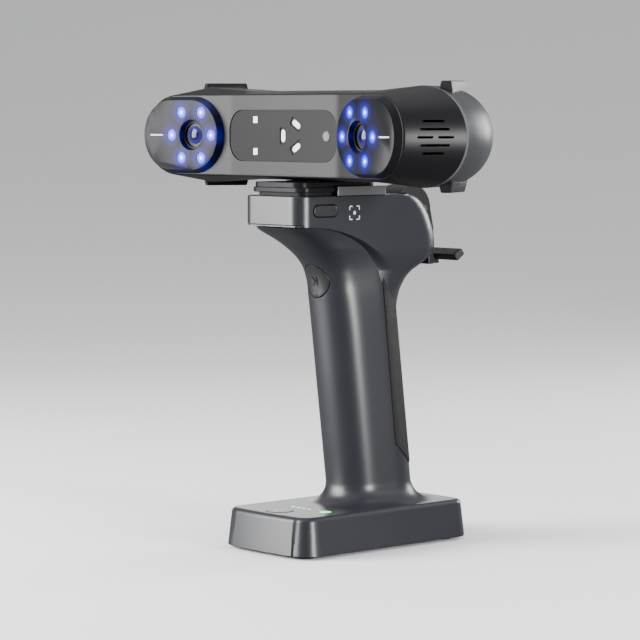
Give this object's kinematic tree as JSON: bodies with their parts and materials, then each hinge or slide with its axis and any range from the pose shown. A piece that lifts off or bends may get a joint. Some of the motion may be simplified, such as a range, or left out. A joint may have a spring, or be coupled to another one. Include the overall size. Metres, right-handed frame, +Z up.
{
  "type": "handheld scanner",
  "caption": "Handheld structured-light scanner: wide stereo camera head on a battery pistol grip with a desk base and a folding phone holder at the back.",
  "frame": {"origin": "on the resting plane, under the middle of the object's box", "axes": "+Z up, -Y is where the cameras look, +X is to the right seen from the front"},
  "size_m": [0.215, 0.1197, 0.2303],
  "materials": {
    "head_front": "fine satin moulding, near black",
    "shell_grey": "fine-grained graphite grey moulding",
    "bezel_black": "semi-gloss black moulding",
    "panel_black": "smooth satin black plate",
    "inner_black": "matt black moulding",
    "laser_window": "pale optical insert",
    "led_white": "white light window",
    "circuit_board": "solder mask green",
    "lens_glass": "coated glass, nearly opaque",
    "led_blue": "lit blue window",
    "camera_metal": "anodised aluminium",
    "steel": "plated steel",
    "plate_black": "black anodised plate",
    "rubber_black": "matt black rubber, fine diagonal texture",
    "button_grey": "satin graphite button",
    "light_green": "lit green light guide",
    "battery_wrap": "blue heat-shrink wrap",
    "holder_black": "matt black moulding"
  },
  "bodies": {
    "scanner": {"base_board": "circuit_board", "base_cover": "shell_grey", "base_screws": "steel", "battery_cell": "battery_wrap", "battery_cradle": "inner_black", "battery_lights": "light_green", "board_standoffs": "steel", "centre_panel": "panel_black", "charge_port": "steel", "clamp_strips": "camera_metal", "colour_sensor": "lens_glass", "deck_plate": "shell_grey", "fill_led_board": "circuit_board", "fill_leds": "led_white", "front_cover": "head_front", "handle_board": "circuit_board", "handle_shell": "shell_grey", "head_bumpers": "shell_grey", "head_plate": "camera_metal", "head_port": "steel", "head_status_light": "light_green", "heat_sink": "camera_metal", "hinge_pin": "steel", "laser_module": "inner_black", "laser_windows": "laser_window", "left_bezel": "bezel_black", "left_camera": "camera_metal", "left_led_board": "circuit_board", "left_led_windows": "led_blue", "left_lens": "lens_glass", "left_lens_barrel": "inner_black", "main_board": "circuit_board", "mount_screw": "steel", "optical_frame": "camera_metal", "quick_release_plate": "plate_black", "rear_shell": "shell_grey", "release_socket": "inner_black", "right_bezel": "bezel_black", "right_camera": "camera_metal", "right_led_board": "circuit_board", "right_led_windows": "led_blue", "right_lens": "lens_glass", "right_lens_barrel": "inner_black", "rubber_feet": "rubber_black", "rubber_grip": "rubber_black", "scan_switch": "circuit_board", "status_light": "light_green"},
    "scan_button": {"scan_button": "button_grey"},
    "release_button": {"release_button": "button_grey", "latch_bar": "steel"},
    "power_button": {"power_button": "button_grey"},
    "phone_holder": {"holder_arm": "holder_black"},
    "lower_jaw": {"lower_jaw": "holder_black", "jaw_pads": "rubber_black"}
  },
  "joints": [
    {"name": "scan_press", "type": "slide", "parent": "scanner", "child": "scan_button", "axis": [0, 0.9724, 0.2334], "range_m": [0, 0.0012], "stiffness_N_per_m": 600},
    {"name": "release_press", "type": "slide", "parent": "scanner", "child": "release_button", "axis": [-1, 0, 0], "range_m": [0, 0.0015], "stiffness_N_per_m": 600},
    {"name": "power_press", "type": "slide", "parent": "scanner", "child": "power_button", "axis": [0, 0, -1], "range_m": [0, 0.0006], "stiffness_N_per_m": 800},
    {"name": "holder_hinge", "type": "hinge", "parent": "scanner", "child": "phone_holder", "pos_m": [0, 0.0355, 0.167], "axis": [1, 0, 0], "range_deg": [0, 80]},
    {"name": "jaw_slide", "type": "slide", "parent": "phone_holder", "child": "lower_jaw", "axis": [0, 0, -1], "range_m": [0, 0.012], "stiffness_N_per_m": 150}
  ]
}
